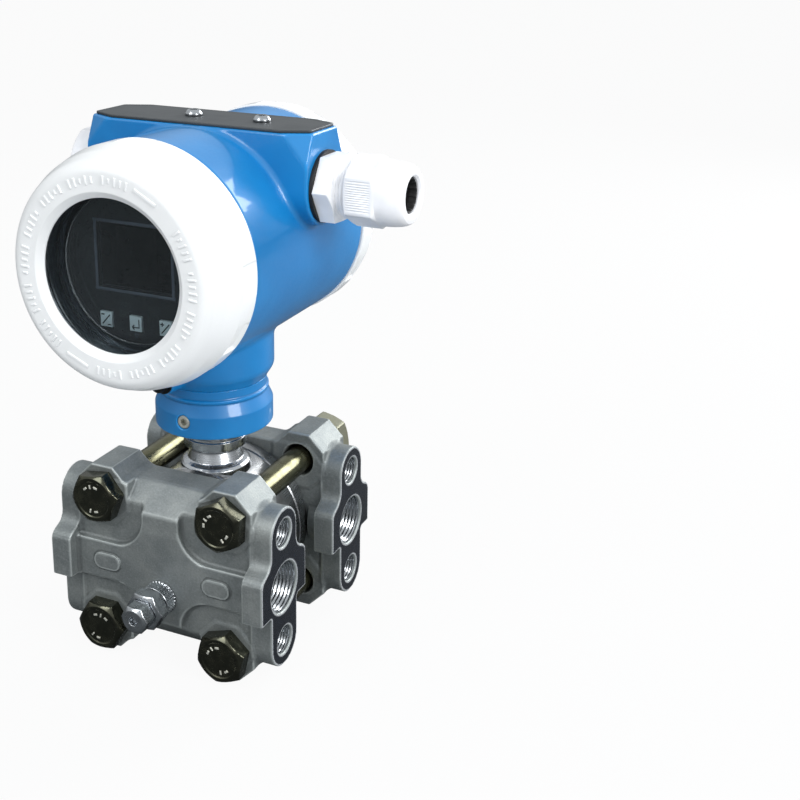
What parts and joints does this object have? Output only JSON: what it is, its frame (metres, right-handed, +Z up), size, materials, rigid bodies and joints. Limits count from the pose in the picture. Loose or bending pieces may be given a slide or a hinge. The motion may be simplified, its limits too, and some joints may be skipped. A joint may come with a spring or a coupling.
{
  "type": "differential pressure transmitter",
  "caption": "Field-mounted differential pressure transmitter with a round display housing over a bolted pair of process flanges, cable gland and vent valves.",
  "frame": {"origin": "on the plane the part stands on, under the middle of its outer box", "axes": "+Z up along the neck, -Y out of the display, +X out of the cable gland and of the process ports"},
  "size_m": [0.1284, 0.1178, 0.194],
  "materials": {
    "housing_paint": "satin blue powder coat",
    "cover_paint": "smooth white enamel",
    "cast_steel": "bead blasted cast stainless steel with machined end faces",
    "sensor_steel": "turned stainless steel",
    "dark_steel": "dark oiled bolt steel",
    "passivated_steel": "yellow passivated steel",
    "bright_steel": "bright turned stainless steel",
    "plate": "grey anodised plate",
    "black_seal": "matte black rubber",
    "gasket": "white fluoropolymer",
    "window": "clear tempered glass",
    "display_black": "dark blue-black printed plastic",
    "lcd": "unlit display",
    "key_plastic": "matte key caps",
    "board": "green circuit board",
    "potting": "black potting compound",
    "gland_black": "black polyamide",
    "gland_white": "white polyamide",
    "nickel": "nickel plate"
  },
  "bodies": {
    "process_body": {"sensor_module": "sensor_steel", "neck_seal": "black_seal", "isolating_diaphragms": "bright_steel", "flange_gaskets": "gasket", "front_flange": "cast_steel", "rear_flange": "cast_steel", "flange_bolts": "dark_steel", "flange_nuts": "passivated_steel", "front_vent_body": "bright_steel", "rear_vent_body": "bright_steel"},
    "housing_group": {"housing": "housing_paint", "collar_grub_screw": "dark_steel", "ground_screw": "nickel", "nameplate": "plate", "nameplate_screws": "bright_steel", "display_faceplate": "display_black", "lcd_panel": "lcd", "display_board": "board", "display_pillars": "nickel", "electronics_module": "potting", "terminal_block": "gland_black", "terminal_screws": "nickel", "gland_washer": "black_seal", "plug_washer": "black_seal", "gland_body": "gland_white", "gland_seal": "black_seal"},
    "front_cover_group": {"front_cover": "cover_paint", "front_cover_seal": "black_seal", "window_glass": "window", "window_retaining_ring": "gland_black"},
    "rear_cover_group": {"rear_cover": "cover_paint", "rear_cover_seal": "black_seal"},
    "left_key": {"left_key": "key_plastic"},
    "middle_key": {"middle_key": "key_plastic"},
    "right_key": {"right_key": "key_plastic"},
    "front_vent_stem": {"front_vent_stem": "bright_steel"},
    "rear_vent_stem": {"rear_vent_stem": "bright_steel"},
    "gland_nut": {"gland_nut": "gland_white"},
    "blind_plug": {"blind_plug": "gland_white"}
  },
  "joints": [
    {"name": "housing_turn", "type": "hinge", "parent": "process_body", "child": "housing_group", "pos_m": [-0.0115, 0.00285, 0.055], "axis": [0, 0, 1], "range_deg": [-180, 180]},
    {"name": "front_cover_off", "type": "slide", "parent": "housing_group", "child": "front_cover_group", "axis": [0, -1, 0], "range_m": [0, 0.04]},
    {"name": "rear_cover_off", "type": "slide", "parent": "housing_group", "child": "rear_cover_group", "axis": [0, 1, 0], "range_m": [0, 0.04]},
    {"name": "left_key_press", "type": "slide", "parent": "housing_group", "child": "left_key", "axis": [0, 1, 0], "range_m": [0, 0.0005], "stiffness_N_per_m": 400},
    {"name": "middle_key_press", "type": "slide", "parent": "housing_group", "child": "middle_key", "axis": [0, 1, 0], "range_m": [0, 0.0005], "stiffness_N_per_m": 400},
    {"name": "right_key_press", "type": "slide", "parent": "housing_group", "child": "right_key", "axis": [0, 1, 0], "range_m": [0, 0.0005], "stiffness_N_per_m": 400},
    {"name": "front_vent_turn", "type": "hinge", "parent": "process_body", "child": "front_vent_stem", "pos_m": [-0.0115, -0.04715, 0.0273], "axis": [0, -1, 0], "range_deg": [0, 360]},
    {"name": "rear_vent_turn", "type": "hinge", "parent": "process_body", "child": "rear_vent_stem", "pos_m": [-0.0115, 0.05285, 0.0273], "axis": [0, 1, 0], "range_deg": [0, 360]},
    {"name": "gland_nut_turn", "type": "hinge", "parent": "housing_group", "child": "gland_nut", "pos_m": [0.0485, 0.00585, 0.1716], "axis": [1, 0, 0], "range_deg": [0, 360]},
    {"name": "blind_plug_turn", "type": "hinge", "parent": "housing_group", "child": "blind_plug", "pos_m": [-0.0595, 0.00585, 0.1716], "axis": [-1, 0, 0], "range_deg": [0, 360]}
  ]
}
